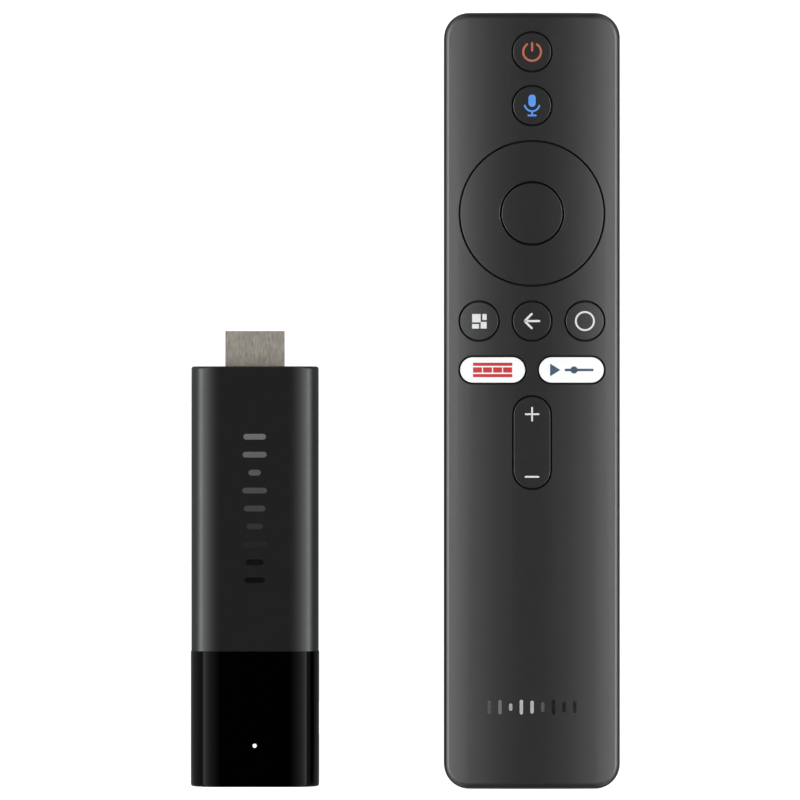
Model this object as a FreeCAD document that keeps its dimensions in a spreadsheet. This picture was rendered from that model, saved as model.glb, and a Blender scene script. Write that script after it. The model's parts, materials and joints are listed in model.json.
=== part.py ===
"""Streaming media stick and its hand remote, laid side by side on their backs.

Millimetres. X runs across the pair, Y along both pieces, Z up from the surface they lie on.
"""
import FreeCAD, Part
import math
import os
import re

import Sketcher

SIZES = [
    # the pair
    ("pair_gap", 29.25),
    ("stick_raise", 0.42),
    ("fit_gap", 0.1),
    # remote case
    ("remote_width", 41.2),
    ("remote_length", 181.7),
    ("crown_height", 16.5),
    ("crown_rise", 2.0),
    ("corner_radius", 5.85),
    ("top_round", 1.4),
    ("bottom_round", 5.0),
    ("remote_wall", 2.0),
    ("ceiling_height", 14.0),
    ("floor_thickness", 1.6),
    ("parting_height", 8.5),
    ("lip_height", 0.8),
    ("lip_width", 0.9),
    ("mic_hole_radius", 0.5),
    # keys
    ("key_gap", 0.45),
    ("key_proud", 0.2),
    ("ring_proud", 0.25),
    ("key_round", 0.12),
    ("flange_width", 1.2),
    ("flange_thickness", 0.7),
    ("key_stem_length", 0.8),
    ("key_radius", 4.425),
    ("ok_key_radius", 7.085),
    ("ring_radius", 16.745),
    ("ring_flange_width", 1.1),
    ("ring_drop", 0.75),
    ("ring_flange_depth", 0.7),
    ("ok_drop", 1.1),
    ("ok_flange_width", 0.9),
    ("ok_flange_thickness", 0.5),
    ("seat_inner_radius", 8.6),
    ("seat_width", 1.8),
    ("pill_length", 15.15),
    ("pill_width", 5.95),
    ("pill_flange", 1.0),
    ("rocker_length", 21.35),
    ("rocker_width", 8.55),
    ("rocker_flange", 0.9),
    ("rocker_drop", 0.6),
    ("rocker_foot_radius", 1.5),
    # key places, from the head end down
    ("head_to_power", 9.21),
    ("power_to_voice", 12.57),
    ("voice_to_ring", 25.22),
    ("ring_to_row", 25.18),
    ("row_to_pills", 11.44),
    ("pills_to_rocker", 17.0),
    ("row_pitch", 12.37),
    ("pill_offset", 9.22),
    # remote insides
    ("board_thickness", 1.2),
    ("board_height", 8.0),
    ("board_inset", 1.0),
    ("sheet_thickness", 0.8),
    ("sheet_inset", 1.2),
    ("dome_base_radius", 3.2),
    ("dome_top_radius", 2.0),
    ("dome_hollow_radius", 2.4),
    ("dome_hollow_height", 1.0),
    ("pill_contact_radius", 1.5),
    ("contact_thickness", 0.3),
    ("ring_dome_radius", 13.8),
    ("rocker_dome_offset", 7.0),
    ("boss_radius", 2.4),
    ("boss_inset", 3.1),
    ("screw_radius", 0.75),
    ("screw_head_radius", 1.4),
    ("screw_head_height", 0.7),
    ("screw_length", 4.5),
    # battery bay
    ("cell_radius", 5.25),
    ("cell_body_length", 43.5),
    ("cell_nub_length", 1.0),
    ("cell_nub_radius", 2.7),
    ("cell_offset", 5.6),
    ("bay_side_gap", 0.55),
    ("bay_from_tail", 7.0),
    ("spring_space", 5.9),
    ("spring_wire_radius", 0.25),
    ("spring_radius", 3.6),
    ("plate_thickness", 0.3),
    ("bay_front_wall", 5.5),
    ("door_half_width", 15.0),
    ("door_thickness", 1.6),
    ("door_gap", 0.15),
    ("tongue_width", 1.0),
    ("tongue_low", 0.9),
    ("latch_half_width", 4.0),
    ("latch_length", 1.3),
    # stick case
    ("stick_width", 30.14),
    ("stick_thickness", 15.4),
    ("stick_length", 98.53),
    ("cap_length", 31.74),
    ("section_round", 7.0),
    ("sleeve_step", 0.135),
    ("stick_wall", 1.4),
    ("end_wall", 1.5),
    ("end_round", 0.6),
    ("spigot_length", 2.8),
    ("spigot_thickness", 0.6),
    ("carrier_thickness", 1.0),
    ("carrier_start", 4.0),
    # stick board and chips
    ("stick_board_thickness", 1.4),
    ("post_radius", 1.8),
    ("post_offset", 8.2),
    ("processor_side", 12.0),
    ("processor_place", 60.0),
    ("chip_height", 1.0),
    ("pad_height", 1.0),
    ("spreader_thickness", 1.0),
    ("spreader_length", 44.0),
    ("spreader_width", 18.0),
    ("memory_place", 44.0),
    ("can_height", 2.4),
    ("can_length", 16.0),
    ("can_width", 18.0),
    ("can_wall", 0.3),
    ("can_place", 72.0),
    ("flash_place", 50.0),
    ("led_place", 9.7),
    ("led_height", 0.7),
    ("light_radius", 0.45),
    # plug and supply socket
    ("plug_width", 13.9),
    ("plug_height", 4.45),
    ("plug_reach", 8.29),
    ("plug_depth", 8.0),
    ("plug_chamfer", 1.3),
    ("plug_wall", 0.35),
    ("slot_width", 11.9),
    ("contact_pitch", 1.0),
    ("contact_width", 0.45),
    ("contact_height", 0.2),
    ("usb_place", 16.0),
    ("usb_width", 7.5),
    ("usb_height", 2.7),
    ("usb_depth", 5.6),
    ("usb_wall", 0.3),
]

DERIVED = [
    ("pair_width", "stick_width + pair_gap + remote_width"),
    ("remote_x", "(stick_width + pair_gap) / 2"),
    ("stick_x", "0 - (pair_gap + remote_width) / 2"),
    ("half_width", "remote_width / 2"),
    ("head_end", "remote_length / 2"),
    ("stick_y", "stick_raise - head_end"),
    ("edge_height", "crown_height - crown_rise"),
    ("crown_radius", "(half_width * half_width + crown_rise * crown_rise) / (2 * crown_rise)"),
    ("crown_depth", "crown_radius - crown_height"),
    ("inner_width", "remote_width - 2 * remote_wall"),
    ("inner_length", "remote_length - 2 * remote_wall"),
    ("inner_radius", "corner_radius - remote_wall"),
    ("lip_inset", "remote_wall - lip_width"),
    ("flange_top", "ceiling_height - fit_gap"),
    ("flange_base", "flange_top - flange_thickness"),
    ("stem_base", "flange_base - key_stem_length"),
    ("power_y", "head_end - head_to_power"),
    ("voice_y", "power_y - power_to_voice"),
    ("ring_y", "voice_y - voice_to_ring"),
    ("row_y", "ring_y - ring_to_row"),
    ("pill_y", "row_y - row_to_pills"),
    ("rocker_y", "pill_y - pills_to_rocker"),
    ("ring_bore", "ok_key_radius + key_gap"),
    ("ring_flange_top", "ceiling_height - ring_drop"),
    ("ring_base", "ring_flange_top - ring_flange_depth"),
    ("ok_flange_top", "ring_flange_top - ok_drop"),
    ("ok_base", "ok_flange_top - ok_flange_thickness"),
    ("rocker_flange_top", "ceiling_height - rocker_drop"),
    ("rocker_base", "rocker_flange_top - flange_thickness"),
    ("board_top", "board_height + board_thickness"),
    ("sheet_top", "board_top + sheet_thickness"),
    ("dome_roof", "sheet_top + dome_hollow_height - sheet_thickness"),
    ("bay_low", "bay_from_tail - head_end"),
    ("bay_length", "2 * plate_thickness + spring_space + cell_body_length + cell_nub_length"),
    ("bay_high", "bay_low + bay_length"),
    ("bay_half_width", "cell_offset + cell_radius + bay_side_gap"),
    ("cell_height", "door_thickness + fit_gap + cell_radius"),
    ("bay_roof", "cell_height + cell_radius + 2 * fit_gap"),
    ("door_front", "bay_high + bay_front_wall"),
    ("block_front", "door_front + latch_length + 2.4"),
    ("block_half_width", "half_width - remote_wall - 1"),
    ("board_low", "block_front + 0.5"),
    ("board_high", "head_end - remote_wall - board_inset"),
    ("board_length", "board_high - board_low"),
    ("board_middle", "(board_high + board_low) / 2"),
    ("board_width", "inner_width - 2 * board_inset"),
    ("screw_x", "inner_width / 2 - boss_inset"),
    ("screw_head_y", "board_high - boss_inset"),
    ("screw_tail_y", "board_low + boss_inset"),
    ("case_screw_y", "bay_high + bay_front_wall / 2"),
    ("case_screw_x", "bay_half_width - screw_head_radius"),
    ("stick_middle", "stick_thickness / 2"),
    ("sleeve_width", "stick_width - 2 * sleeve_step"),
    ("sleeve_thickness", "stick_thickness - 2 * sleeve_step"),
    ("bore_width", "sleeve_width - 2 * stick_wall"),
    ("bore_thickness", "sleeve_thickness - 2 * stick_wall"),
    ("sleeve_length", "stick_length - cap_length"),
    ("carrier_width", "bore_width - 2 * fit_gap"),
    ("carrier_height", "bore_thickness - 2 * fit_gap"),
    ("carrier_round", "section_round - stick_wall - fit_gap"),
    ("carrier_length", "stick_length - end_wall - 1 - carrier_start"),
    ("carrier_floor", "stick_middle - carrier_height / 2 + carrier_thickness"),
    ("stick_board_low", "stick_middle - stick_board_thickness / 2"),
    ("stick_board_top", "stick_middle + stick_board_thickness / 2"),
    ("stick_board_width", "carrier_width - carrier_thickness"),
    ("stick_board_start", "carrier_start + 1"),
    ("plug_length", "plug_depth + plug_reach"),
    ("plug_start", "stick_length - plug_depth"),
    ("stick_board_end", "plug_start + 2"),
    ("stick_board_length", "stick_board_end - stick_board_start"),
    ("board_tongue_half", "slot_width / 2 - fit_gap"),
    ("insulator_start", "stick_board_end + 0.5"),
    ("insulator_length", "stick_length + plug_reach - 0.6 - insulator_start"),
    ("slot_height", "stick_board_thickness + 2 * contact_height"),
    ("slot_low", "stick_board_low - contact_height"),
    ("bore_top", "stick_middle + bore_thickness / 2"),
    ("chip_top", "stick_board_top + chip_height"),
    ("spreader_base", "chip_top + pad_height"),
    ("usb_start", "stick_width / 2 - 0.35 - usb_depth"),
    ("usb_low", "stick_middle - usb_height / 2"),
    ("cap_ceiling", "bore_top"),
    ("led_top", "stick_board_top + led_height"),
]

OWNERS = {name: "Sizes" for name, _ in SIZES}
OWNERS.update({name: "Levels" for name, _ in DERIVED})
WORD = re.compile(r"\b[a-z][a-z_]*\b")

doc = FreeCAD.newDocument("MediaStick")
sheet = doc.addObject("Spreadsheet::Sheet", "Sizes")
for row, (name, size) in enumerate(SIZES, 1):
    sheet.set(f"A{row}", name)
    sheet.set(f"B{row}", str(size))
    sheet.setAlias(f"B{row}", name)
doc.recompute()
levels = doc.addObject("App::VarSet", "Levels")


def owned(text):
    """Write a size's name in full, with the object that holds it."""
    return WORD.sub(lambda word: f"{OWNERS[word[0]]}.{word[0]}" if word[0] in OWNERS else word[0], str(text))


def bind(item, prop, text):
    item.setExpression(prop, owned(text))


def value(text):
    return float(levels.evalExpression(owned(text)))


for name, text in DERIVED:
    levels.addProperty("App::PropertyFloat", name)
    bind(levels, name, text)
    doc.recompute()

NODES = []


# ---------------------------------------------------------------- building blocks
def new_body(name, x="remote_x", y="0", z="0"):
    """Start a sub-part whose own origin stands at x, y, z."""
    body = doc.addObject("PartDesign::Body", name)
    for axis, text in zip("xyz", (x, y, z)):
        bind(body, f"Placement.Base.{axis}", text)
    NODES.append(body)
    return body


def stick_body(name):
    return new_body(name, "stick_x", "stick_y")


def sketch_on(body, name, place, upright=False, turn=0):
    """Start a sketch at place = (x, y, z): level, or upright and facing along Y."""
    role = "XZ_Plane" if upright else "XY_Plane"
    sketch = body.newObject("Sketcher::SketchObject", name)
    sketch.AttachmentSupport = (next(f for f in body.Origin.OriginFeatures if f.Role == role), [""])
    sketch.MapMode = "FlatFace"
    sketch.AttachmentOffset = FreeCAD.Placement(
        FreeCAD.Vector(), FreeCAD.Rotation(FreeCAD.Vector(0, 0, 1), turn))
    x, y, z = place
    offset = (x, z, f"0 - ({y})") if upright else (x, y, z)
    for axis, text in zip("xyz", offset):
        bind(sketch, f"AttachmentOffset.Base.{axis}", text)
    return sketch


def constrain(sketch, plain, sized):
    """Add the plain constraints, then the named ones that follow a size."""
    sketch.addConstraint(plain)
    for name, make, text in sized:
        index = sketch.addConstraint(make(value(text)))
        sketch.renameConstraint(index, name)
        bind(sketch, f"Constraints.{name}", text)


def draw_rounded(sketch, wide, tall, corner):
    """Draw a rectangle with round corners, centred on the sketch's origin."""
    w, h, r = value(wide) / 2, value(tall) / 2, value(corner)
    vector = FreeCAD.Vector
    centres = [(w - r, r - h), (w - r, h - r), (r - w, h - r), (r - w, r - h)]
    sides = [((r - w, -h), (w - r, -h)), ((w, r - h), (w, h - r)),
             ((w - r, h), (r - w, h)), ((-w, h - r), (-w, r - h))]
    for side, (cx, cy) in enumerate(centres):
        (x0, y0), (x1, y1) = sides[side]
        start = (side - 1) * math.pi / 2
        circle = Part.Circle(vector(cx, cy, 0), vector(0, 0, 1), r)
        sketch.addGeometry(Part.LineSegment(vector(x0, y0, 0), vector(x1, y1, 0)))
        sketch.addGeometry(Part.ArcOfCircle(circle, start, start + math.pi / 2))
    rule = Sketcher.Constraint
    plain = [rule("Tangent", i, 2, (i + 1) % 8, 1) for i in range(8)]
    plain += [rule("Horizontal", 0), rule("Vertical", 2), rule("Horizontal", 4), rule("Vertical", 6)]
    plain += [rule("Equal", 1, 3), rule("Equal", 3, 5), rule("Equal", 5, 7)]
    plain += [rule("Symmetric", 1, 3, 5, 3, -1, 1)]
    constrain(sketch, plain, [
        ("corner", lambda v: rule("Radius", 1, v), corner),
        ("wide", lambda v: rule("DistanceX", 6, 1, 2, 2, v), wide),
        ("tall", lambda v: rule("DistanceY", 0, 1, 4, 1, v), tall),
    ])


def draw_slot(sketch, length, width):
    """Draw a slot with round ends, centred on the sketch's origin and long along its X."""
    r = value(width) / 2
    a = value(length) / 2 - r
    vector = FreeCAD.Vector
    up = vector(0, 0, 1)
    right = Part.Circle(vector(a, 0, 0), up, r)
    left = Part.Circle(vector(-a, 0, 0), up, r)
    sketch.addGeometry(Part.LineSegment(vector(-a, -r, 0), vector(a, -r, 0)))
    sketch.addGeometry(Part.ArcOfCircle(right, -math.pi / 2, math.pi / 2))
    sketch.addGeometry(Part.LineSegment(vector(a, r, 0), vector(-a, r, 0)))
    sketch.addGeometry(Part.ArcOfCircle(left, math.pi / 2, 3 * math.pi / 2))
    rule = Sketcher.Constraint
    plain = [rule("Tangent", i, 2, (i + 1) % 4, 1) for i in range(4)]
    plain += [rule("Horizontal", 0), rule("Horizontal", 2), rule("Symmetric", 1, 3, 3, 3, -1, 1)]
    constrain(sketch, plain, [
        ("round", lambda v: rule("Radius", 1, v), f"({width}) / 2"),
        ("centres", lambda v: rule("DistanceX", 3, 3, 1, 3, v), f"({length}) - ({width})"),
    ])


def pad(body, name, sketch, length, up=True):
    feature = body.newObject("PartDesign::Pad", name)
    feature.Profile = sketch
    feature.Reversed = not up
    bind(feature, "Length", length)
    doc.recompute()
    return feature


def pocket(body, name, sketch, length, up=True):
    feature = body.newObject("PartDesign::Pocket", name)
    feature.Profile = sketch
    feature.Reversed = up
    bind(feature, "Length", length)
    doc.recompute()
    return feature


def slab(body, name, place, wide, tall, corner, height, cut=False):
    """Add or cut a level plate with round corners, centred on x, y and rising from z."""
    sketch = sketch_on(body, name + "Outline", place)
    draw_rounded(sketch, wide, tall, corner)
    return (pocket if cut else pad)(body, name, sketch, height)


def tube(body, name, y, wide, tall, corner, length, cut=False):
    """Add or cut a bar of the stick's section from y along +Y, round its middle line."""
    sketch = sketch_on(body, name + "Section", ("0", y, "stick_middle"), upright=True)
    draw_rounded(sketch, wide, tall, corner)
    return (pocket if cut else pad)(body, name, sketch, length, up=False)


def slot(body, name, place, length, width, height, cut=False, turn=0):
    sketch = sketch_on(body, name + "Outline", place, turn=turn)
    draw_slot(sketch, length, width)
    return (pocket if cut else pad)(body, name, sketch, height)


def box(body, name, low, size, cut=False):
    """Add or cut a box from its lowest corner."""
    feature = body.newObject("PartDesign::SubtractiveBox" if cut else "PartDesign::AdditiveBox", name)
    for prop, text in zip(("Length", "Width", "Height"), size):
        bind(feature, prop, text)
    for axis, text in zip("xyz", low):
        bind(feature, f"Placement.Base.{axis}", text)
    return feature


def middle_box(body, name, centre, size, cut=False):
    """Add or cut a box centred on x and y, rising from z."""
    low = (f"({centre[0]}) - ({size[0]}) / 2", f"({centre[1]}) - ({size[1]}) / 2", centre[2])
    return box(body, name, low, size, cut)


def rod(body, name, place, radius, height, cut=False, along=None):
    """Add or cut a cylinder that rises from its base, or lies along +Y or +X."""
    kind = "PartDesign::SubtractiveCylinder" if cut else "PartDesign::AdditiveCylinder"
    feature = body.newObject(kind, name)
    if along == "y":
        feature.Placement.Rotation = FreeCAD.Rotation(FreeCAD.Vector(1, 0, 0), -90)
    bind(feature, "Radius", radius)
    bind(feature, "Height", height)
    for axis, text in zip("xyz", place):
        bind(feature, f"Placement.Base.{axis}", text)
    return feature


def cone(body, name, place, base, top, height):
    feature = body.newObject("PartDesign::AdditiveCone", name)
    bind(feature, "Radius1", base)
    bind(feature, "Radius2", top)
    bind(feature, "Height", height)
    for axis, text in zip("xyz", place):
        bind(feature, f"Placement.Base.{axis}", text)
    return feature


def round_edges(body, name, feature, radius, chosen):
    """Round the edges of the feature that the test chooses."""
    doc.recompute()
    edges = [f"Edge{i}" for i, edge in enumerate(feature.Shape.Edges, 1) if chosen(edge.BoundBox)]
    fillet = body.newObject("PartDesign::Fillet", name)
    fillet.Base = (feature, edges)
    bind(fillet, "Radius", radius)
    doc.recompute()
    return fillet


def crown(body, proud):
    """Cut away what stands above the remote's crowned top, raised by proud."""
    sketch = sketch_on(body, "Crown", ("0", "0", "0"), upright=True)
    radius = value(f"crown_radius + {proud}")
    depth, reach, top = value("crown_depth"), value("remote_width"), value("2 * crown_height")
    angle = math.asin(reach / 2 / radius)
    vector = FreeCAD.Vector
    circle = Part.Circle(vector(0, -depth, 0), vector(0, 0, 1), radius)
    end = radius * math.cos(angle) - depth
    sketch.addGeometry(Part.ArcOfCircle(circle, math.pi / 2 - angle, math.pi / 2 + angle))
    sketch.addGeometry(Part.LineSegment(vector(-reach / 2, end, 0), vector(-reach / 2, top, 0)))
    sketch.addGeometry(Part.LineSegment(vector(-reach / 2, top, 0), vector(reach / 2, top, 0)))
    sketch.addGeometry(Part.LineSegment(vector(reach / 2, top, 0), vector(reach / 2, end, 0)))
    rule = Sketcher.Constraint
    plain = [rule("Coincident", i, 2, (i + 1) % 4, 1) for i in range(4)]
    plain += [rule("PointOnObject", 0, 3, -2), rule("Vertical", 1), rule("Vertical", 3)]
    plain += [rule("Symmetric", 2, 1, 2, 2, -2)]
    constrain(sketch, plain, [
        ("round", lambda v: rule("Radius", 0, v), f"crown_radius + {proud}"),
        ("depth", lambda v: rule("DistanceY", 0, 3, -1, 1, v), "crown_depth"),
        ("top", lambda v: rule("DistanceY", -1, 1, 2, 1, v), "2 * crown_height"),
        ("reach", lambda v: rule("DistanceX", 2, 1, 2, 2, v), "remote_width + 2"),
    ])
    cut = body.newObject("PartDesign::Pocket", "CrownCut")
    cut.Profile = sketch
    cut.Type = "ThroughAll"
    cut.SideType = "Symmetric"
    doc.recompute()
    return cut


def sides():
    """The left and the right hand, as a word and a sign."""
    return (("Left", "0 - "), ("Right", ""))


# ---------------------------------------------------------------- remote case
ROUND_KEYS = {
    "power_key": ("0", "power_y"),
    "voice_key": ("0", "voice_y"),
    "apps_key": ("0 - row_pitch", "row_y"),
    "back_key": ("0", "row_y"),
    "home_key": ("row_pitch", "row_y"),
}
PILL_KEYS = {
    "left_shortcut_key": ("0 - pill_offset", "pill_y"),
    "right_shortcut_key": ("pill_offset", "pill_y"),
}


def remote_outline(body, name, z, inset, height, cut=False):
    """Add or cut the remote's outline, drawn in by inset."""
    return slab(body, name, ("0", "0", z), f"remote_width - 2 * ({inset})",
                f"remote_length - 2 * ({inset})", f"corner_radius - ({inset})", height, cut)


def make_top_cover():
    body = new_body("remote_top_cover")
    remote_outline(body, "Shell", "parting_height", "0", "crown_height")
    top = crown(body, "0")
    low = value("parting_height") + 1
    round_edges(body, "TopRound", top, "top_round", lambda b: b.ZMin > low)
    remote_outline(body, "Cavity", "parting_height", "remote_wall", "ceiling_height - parting_height", True)
    remote_outline(body, "Rebate", "parting_height", "lip_inset - fit_gap", "lip_height + fit_gap", True)
    roof = "ceiling_height - bay_roof"
    middle_box(body, "BayRoof", ("0", "(bay_low + bay_high) / 2", "bay_roof"),
               ("2 * bay_half_width + 2", "bay_length", f"{roof} + 0.2"))
    wall_base = "parting_height + lip_height + 2 * fit_gap"
    wall = f"ceiling_height - ({wall_base}) + 0.2"
    for hand, sign in sides():
        middle_box(body, f"BayWall{hand}",
                   (f"{sign}(bay_half_width + 0.8)", "(bay_low + bay_high) / 2", wall_base),
                   ("1.6", "bay_length", wall))
        rod(body, f"Boss{hand}", (f"{sign}case_screw_x", "case_screw_y", "parting_height + fit_gap"),
            "boss_radius", "ceiling_height - parting_height")
    for end, y in (("Front", "bay_high + 0.6"), ("Tail", "bay_low - 0.6")):
        middle_box(body, f"Bay{end}", ("0", y, wall_base), ("2 * bay_half_width + 3.2", "1.2", wall))
    for hand, sign in sides():
        rod(body, f"BossHole{hand}", (f"{sign}case_screw_x", "case_screw_y", "parting_height"),
            "screw_radius + 0.05", "screw_length + 0.5", cut=True)
    start = "ceiling_height - 0.5"
    for name, (x, y) in ROUND_KEYS.items():
        rod(body, name + "Hole", (x, y, start), "key_radius + key_gap", "crown_height", cut=True)
    rod(body, "RingHole", ("0", "ring_y", start), "ring_radius + key_gap", "crown_height", cut=True)
    for name, (x, y) in PILL_KEYS.items():
        slot(body, name + "Hole", (x, y, start), "pill_length + 2 * key_gap",
             "pill_width + 2 * key_gap", "crown_height", cut=True)
    slot(body, "RockerHole", ("0", "rocker_y", start), "rocker_length + 2 * key_gap",
         "rocker_width + 2 * key_gap", "crown_height", cut=True, turn=90)


def make_bottom_case():
    body = new_body("remote_bottom_case")
    shell = remote_outline(body, "Shell", "0", "0", "parting_height")
    round_edges(body, "BottomRound", shell, "bottom_round", lambda b: b.ZMax < 0.01)
    remote_outline(body, "Lip", "parting_height", "lip_inset", "lip_height")
    cavity = remote_outline(body, "Cavity", "floor_thickness", "remote_wall", "ceiling_height", True)
    floor = value("floor_thickness")
    round_edges(body, "InnerRound", cavity, "bottom_round - 1.4",
                lambda b: abs(b.ZMax - floor) < 0.01 and b.ZLength < 0.01)
    block = "parting_height - floor_thickness + 0.4"
    box(body, "BayBlock", ("0 - block_half_width", "bay_low - 2.6", "floor_thickness - 0.4"),
        ("2 * block_half_width", "block_front - bay_low + 2.6", block))
    box(body, "Bay", ("0 - bay_half_width", "bay_low", "floor_thickness - 1"),
        ("2 * bay_half_width", "bay_length", "ceiling_height"), cut=True)
    gap = "door_gap"
    tail = "0 - remote_length"
    reach = f"door_front + {gap} + remote_length"
    box(body, "DoorWay", (f"0 - door_half_width - {gap}", tail, "-1"),
        (f"2 * (door_half_width + {gap})", reach, f"door_thickness + {gap} + 1"), cut=True)
    box(body, "DoorGroove", (f"0 - door_half_width - tongue_width - {gap}", tail, f"tongue_low - {gap}"),
        (f"2 * (door_half_width + tongue_width + {gap})", reach, f"door_thickness - tongue_low + 2 * {gap}"),
        cut=True)
    box(body, "LatchPocket", (f"0 - latch_half_width - {gap}", f"door_front - 1", f"tongue_low - {gap}"),
        (f"2 * (latch_half_width + {gap})", f"latch_length + 1 + 2 * {gap}",
         f"door_thickness - tongue_low + 2 * {gap}"), cut=True)
    for end in ("screw_head_y", "screw_tail_y"):
        for hand, sign in sides():
            place = (f"{sign}screw_x", end, "floor_thickness - 0.4")
            rod(body, f"Boss{hand}{end[6:10]}", place, "boss_radius", "board_height - floor_thickness + 0.4")
            place = (f"{sign}screw_x", end, "board_height - screw_length - 0.3")
            rod(body, f"BossHole{hand}{end[6:10]}", place, "screw_radius + 0.05", "screw_length + 1", cut=True)
    for step in range(1, 4):
        place = ("0", f"board_low + {step} * board_length / 4", "floor_thickness - 0.4")
        middle_box(body, f"Rib{step}", place, ("board_width", "1.2", "board_height - floor_thickness - 1.2"))
        for hand, sign in sides():
            place = (f"{sign}(board_width / 2 - 1.5)", f"board_low + {step} * board_length / 4",
                     "floor_thickness - 0.4")
            middle_box(body, f"Rest{hand}{step}", place, ("3", "1.2", "board_height - floor_thickness + 0.4"))
    for hand, sign in sides():
        screw = (f"{sign}case_screw_x", "case_screw_y")
        rod(body, f"CaseScrewSink{hand}", (*screw, "door_thickness"), "screw_head_radius + 0.15",
            "screw_head_height + 0.4 + door_gap", cut=True)
        rod(body, f"CaseScrewHole{hand}", (*screw, "door_thickness"), "screw_radius + 0.15",
            "ceiling_height", cut=True)
    rod(body, "MicHole", ("0", "head_end - remote_wall - 1", "board_height - 1.1"), "mic_hole_radius",
        "remote_wall + 2", cut=True, along="y")


def make_battery_cover():
    body = new_body("battery_cover")
    shell = remote_outline(body, "Shell", "0", "0", "parting_height")
    round_edges(body, "BottomRound", shell, "bottom_round", lambda b: b.ZMax < 0.01)
    half = "remote_length"
    box(body, "Above", (f"0 - {half}", f"0 - {half}", "door_thickness"),
        (f"2 * {half}", f"2 * {half}", "parting_height"), cut=True)
    box(body, "Ahead", (f"0 - {half}", "door_front", "-1"), (f"2 * {half}", f"2 * {half}", "20"), cut=True)
    for hand, low in (("Left", f"0 - {half} - door_half_width"), ("Right", "door_half_width")):
        reach = "0 - tongue_width" if hand == "Left" else "tongue_width"
        box(body, f"Beside{hand}", (f"{low} + {reach}", f"0 - {half}", "-1"),
            (half, f"2 * {half}", "20"), cut=True)
        box(body, f"Under{hand}", (low, f"0 - {half}", "-1"),
            (half, f"2 * {half}", "tongue_low + 1"), cut=True)
    box(body, "Latch", ("0 - latch_half_width", "door_front - 1", "tongue_low"),
        ("2 * latch_half_width", "latch_length + 1", "door_thickness - tongue_low"))
    for step in range(4):
        middle_box(body, f"Grip{step}", ("0", f"door_front - 7 - 1.8 * {step}", "-1"), ("13", "0.8", "1.35"),
                   cut=True)


# ---------------------------------------------------------------- keys
def finish_key(body, proud):
    """Crown the key's top and soften its upper edges."""
    top = crown(body, proud)
    above = value("ceiling_height") + 0.4
    round_edges(body, "TopRound", top, "key_round", lambda b: b.ZMin > above)


def make_round_key(name, x, y):
    body = new_body(name)
    rod(body, "Stem", (x, y, "stem_base"), "dome_top_radius", "key_stem_length")
    rod(body, "Flange", (x, y, "flange_base"), "key_radius + flange_width", "flange_thickness")
    rod(body, "Cap", (x, y, "flange_top"), "key_radius", "crown_height - flange_top + 1")
    finish_key(body, "key_proud")


def make_pill_key(name, x, y):
    body = new_body(name)
    rod(body, "Stem", (x, y, "stem_base"), "dome_top_radius", "key_stem_length")
    slot(body, "Flange", (x, y, "flange_base"), "pill_length + 2 * pill_flange",
         "pill_width + 2 * pill_flange", "flange_thickness")
    slot(body, "Cap", (x, y, "flange_top"), "pill_length", "pill_width", "crown_height - flange_top + 1")
    finish_key(body, "key_proud")


def make_ok_key():
    body = new_body("ok_key")
    rod(body, "Flange", ("0", "ring_y", "ok_base"), "ring_bore + ok_flange_width - key_gap",
        "ok_flange_thickness")
    rod(body, "Cap", ("0", "ring_y", "ok_flange_top"), "ok_key_radius", "crown_height - ok_flange_top + 1")
    finish_key(body, "ring_proud")


def make_nav_ring():
    body = new_body("nav_ring")
    rod(body, "Flange", ("0", "ring_y", "ring_base"), "ring_radius + ring_flange_width", "ring_flange_depth")
    rod(body, "Cap", ("0", "ring_y", "ring_flange_top"), "ring_radius", "crown_height - ring_flange_top + 1")
    rod(body, "Bore", ("0", "ring_y", "ring_base - 1"), "ring_bore", "crown_height", cut=True)
    finish_key(body, "ring_proud")


def make_nav_seat():
    body = new_body("nav_seat")
    rod(body, "Ring", ("0", "ring_y", "sheet_top"), "seat_inner_radius + seat_width", "ring_base - sheet_top")
    rod(body, "Middle", ("0", "ring_y", "sheet_top - 1"), "seat_inner_radius", "crown_height", cut=True)


def make_volume_rocker():
    body = new_body("volume_rocker")
    rod(body, "Foot", ("0", "rocker_y", "sheet_top"), "rocker_foot_radius", "rocker_base - sheet_top")
    slot(body, "Flange", ("0", "rocker_y", "rocker_base"), "rocker_length + 2 * rocker_flange",
         "rocker_width + 2 * rocker_flange", "flange_thickness", turn=90)
    slot(body, "Cap", ("0", "rocker_y", "rocker_flange_top"), "rocker_length", "rocker_width",
         "crown_height - rocker_flange_top + 1", turn=90)
    finish_key(body, "key_proud")


# ---------------------------------------------------------------- remote insides
def domes():
    """Each rubber dome: name, x, y and the height of its top."""
    found = [(name, x, y, "stem_base") for name, (x, y) in {**ROUND_KEYS, **PILL_KEYS}.items()]
    found.append(("ok_key", "0", "ring_y", "ok_base"))
    for name, dx, dy in (("east", 1, 0), ("north", 0, 1), ("west", -1, 0), ("south", 0, -1)):
        found.append((name, f"{dx} * ring_dome_radius", f"ring_y + {dy} * ring_dome_radius", "ring_base"))
    for name, dy in (("louder", 1), ("softer", -1)):
        found.append((name, "0", f"rocker_y + {dy} * rocker_dome_offset", "rocker_base"))
    return found


def make_keypad():
    body = new_body("rubber_keypad")
    slab(body, "Sheet", ("0", "board_middle", "board_top"), "board_width - 2 * (sheet_inset - board_inset)",
         "board_length - 2 * (sheet_inset - board_inset)", "inner_radius - fit_gap", "sheet_thickness")
    for name, x, y, top in domes():
        cone(body, name + "Dome", (x, y, "sheet_top"), "dome_base_radius", "dome_top_radius",
             f"{top} - sheet_top")
    for name, x, y, top in domes():
        rod(body, name + "Hollow", (x, y, "board_top"), "dome_hollow_radius", "dome_hollow_height", cut=True)
    for end in ("screw_head_y", "screw_tail_y"):
        for hand, sign in sides():
            rod(body, f"Relief{hand}{end[6:10]}", (f"{sign}screw_x", end, "board_top - 1"),
                "boss_radius", "sheet_thickness + 2", cut=True)


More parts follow.
